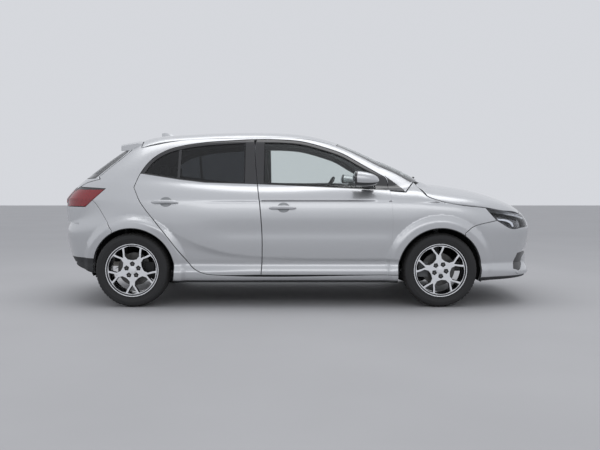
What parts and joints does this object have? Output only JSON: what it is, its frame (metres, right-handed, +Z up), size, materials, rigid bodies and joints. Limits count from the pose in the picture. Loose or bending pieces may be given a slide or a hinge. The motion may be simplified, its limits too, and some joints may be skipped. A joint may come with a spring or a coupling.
{
  "type": "five-door hatchback car",
  "caption": "Compact hatchback car with hinged doors, tailgate and bonnet, a hollow cabin, steered front wheels and free-turning wheels.",
  "frame": {"origin": "on the ground at the middle of the car's length and width", "axes": "+X towards the front bumper, +Y to the car's left, +Z up"},
  "size_m": [4.11, 2.0472, 1.5018],
  "materials": {
    "body_paint": "light silver metallic paint with clear coat",
    "black_plastic": "grained black plastic",
    "gloss_black": "gloss black trim",
    "clear_glass": "lightly tinted safety glass",
    "dark_glass": "dark privacy glass",
    "lamp_lens": "clear lamp cover",
    "red_lens": "red lamp cover",
    "underbody": "dark underbody coating",
    "cast_metal": "rough casting",
    "chassis_black": "satin black chassis paint",
    "exhaust_steel": "dulled steel",
    "cabin_plastic": "soft grained plastic",
    "seat_fabric": "dark woven cloth",
    "wheel_leather": "black leather",
    "tyre_rubber": "black rubber",
    "alloy_rim": "machined face with black painted pockets",
    "brake_steel": "ground iron"
  },
  "bodies": {
    "root": {"floor_pan": "underbody", "side_frames": "body_paint", "roof_panel": "body_paint", "scuttle_panel": "black_plastic", "windscreen": "clear_glass", "front_fenders": "body_paint", "front_bumper": "body_paint", "front_grille": "gloss_black", "rear_bumper": "body_paint", "headlamps": "lamp_lens", "tail_lamps": "red_lens", "wheel_housings": "black_plastic", "engine": "cast_metal", "front_subframe": "chassis_black", "rear_axle_beam": "chassis_black", "exhaust": "exhaust_steel", "fuel_tank": "black_plastic", "dashboard": "cabin_plastic", "front_seats": "seat_fabric", "rear_seat": "seat_fabric"},
    "steering_wheel": {"steering_wheel": "wheel_leather"},
    "knuckle_left": {"knuckle_left": "cast_metal"},
    "knuckle_right": {"knuckle_right": "cast_metal"},
    "wheel_front_left": {"tyre_front_left": "tyre_rubber", "rim_front_left": "alloy_rim", "brake_disc_front_left": "brake_steel"},
    "wheel_front_right": {"tyre_front_right": "tyre_rubber", "rim_front_right": "alloy_rim", "brake_disc_front_right": "brake_steel"},
    "wheel_rear_left": {"tyre_rear_left": "tyre_rubber", "rim_rear_left": "alloy_rim", "brake_disc_rear_left": "brake_steel"},
    "wheel_rear_right": {"tyre_rear_right": "tyre_rubber", "rim_rear_right": "alloy_rim", "brake_disc_rear_right": "brake_steel"},
    "front_door_left": {"front_door_left": "body_paint", "front_door_glass_left": "clear_glass", "door_mirror_left": "body_paint"},
    "rear_door_left": {"rear_door_left": "body_paint", "rear_door_glass_left": "dark_glass"},
    "front_door_right": {"front_door_right": "body_paint", "front_door_glass_right": "clear_glass", "door_mirror_right": "body_paint"},
    "rear_door_right": {"rear_door_right": "body_paint", "rear_door_glass_right": "dark_glass"},
    "tailgate": {"tailgate": "body_paint", "tailgate_glass": "dark_glass"},
    "bonnet": {"bonnet": "body_paint"},
    "fuel_flap": {"fuel_flap": "body_paint"}
  },
  "joints": [
    {"name": "steer_left", "type": "hinge", "parent": "root", "child": "knuckle_left", "pos_m": [1.1865, 0.682, 0.21], "axis": [0, -0.18, 0.9837], "range_deg": [-35, 35]},
    {"name": "spin_front_left", "type": "hinge", "parent": "knuckle_left", "child": "wheel_front_left", "pos_m": [1.1865, 0.768, 0.31], "axis": [0, 1, 0], "continuous": true},
    {"name": "spin_rear_left", "type": "hinge", "parent": "root", "child": "wheel_rear_left", "pos_m": [-1.3835, 0.768, 0.31], "axis": [0, 1, 0], "continuous": true},
    {"name": "front_door_left", "type": "hinge", "parent": "root", "child": "front_door_left", "pos_m": [0.733, 0.848, 0.6], "axis": [0, 0, -1], "range_deg": [0, 66]},
    {"name": "rear_door_left", "type": "hinge", "parent": "root", "child": "rear_door_left", "pos_m": [-0.346, 0.848, 0.6], "axis": [0, 0, -1], "range_deg": [0, 68]},
    {"name": "steer_right", "type": "hinge", "parent": "root", "child": "knuckle_right", "pos_m": [1.1865, -0.682, 0.21], "axis": [0, 0.18, 0.9837], "range_deg": [-35, 35]},
    {"name": "spin_front_right", "type": "hinge", "parent": "knuckle_right", "child": "wheel_front_right", "pos_m": [1.1865, -0.768, 0.31], "axis": [0, 1, 0], "continuous": true},
    {"name": "spin_rear_right", "type": "hinge", "parent": "root", "child": "wheel_rear_right", "pos_m": [-1.3835, -0.768, 0.31], "axis": [0, 1, 0], "continuous": true},
    {"name": "front_door_right", "type": "hinge", "parent": "root", "child": "front_door_right", "pos_m": [0.733, -0.848, 0.6], "axis": [0, 0, 1], "range_deg": [0, 66]},
    {"name": "rear_door_right", "type": "hinge", "parent": "root", "child": "rear_door_right", "pos_m": [-0.346, -0.848, 0.6], "axis": [0, 0, 1], "range_deg": [0, 68]},
    {"name": "tailgate_lift", "type": "hinge", "parent": "root", "child": "tailgate", "pos_m": [-1.368, 0, 1.415], "axis": [0, 1, 0], "range_deg": [0, 75]},
    {"name": "bonnet_lift", "type": "hinge", "parent": "root", "child": "bonnet", "pos_m": [0.94, 0, 1], "axis": [0, -1, 0], "range_deg": [0, 45]},
    {"name": "fuel_flap_swing", "type": "hinge", "parent": "root", "child": "fuel_flap", "pos_m": [-1.465, 0.81, 0.848], "axis": [0, 0.1754, -0.9845], "range_deg": [0, 90]},
    {"name": "steering_wheel_turn", "type": "hinge", "parent": "root", "child": "steering_wheel", "pos_m": [0.275, 0.365, 0.935], "axis": [-0.9063, 0, 0.4226], "range_deg": [-525, 525]}
  ],
  "couplings": [
    {"joint": "steer_right", "follows": "steer_left", "ratio": 1},
    {"joint": "steering_wheel_turn", "follows": "steer_left", "ratio": 15}
  ]
}
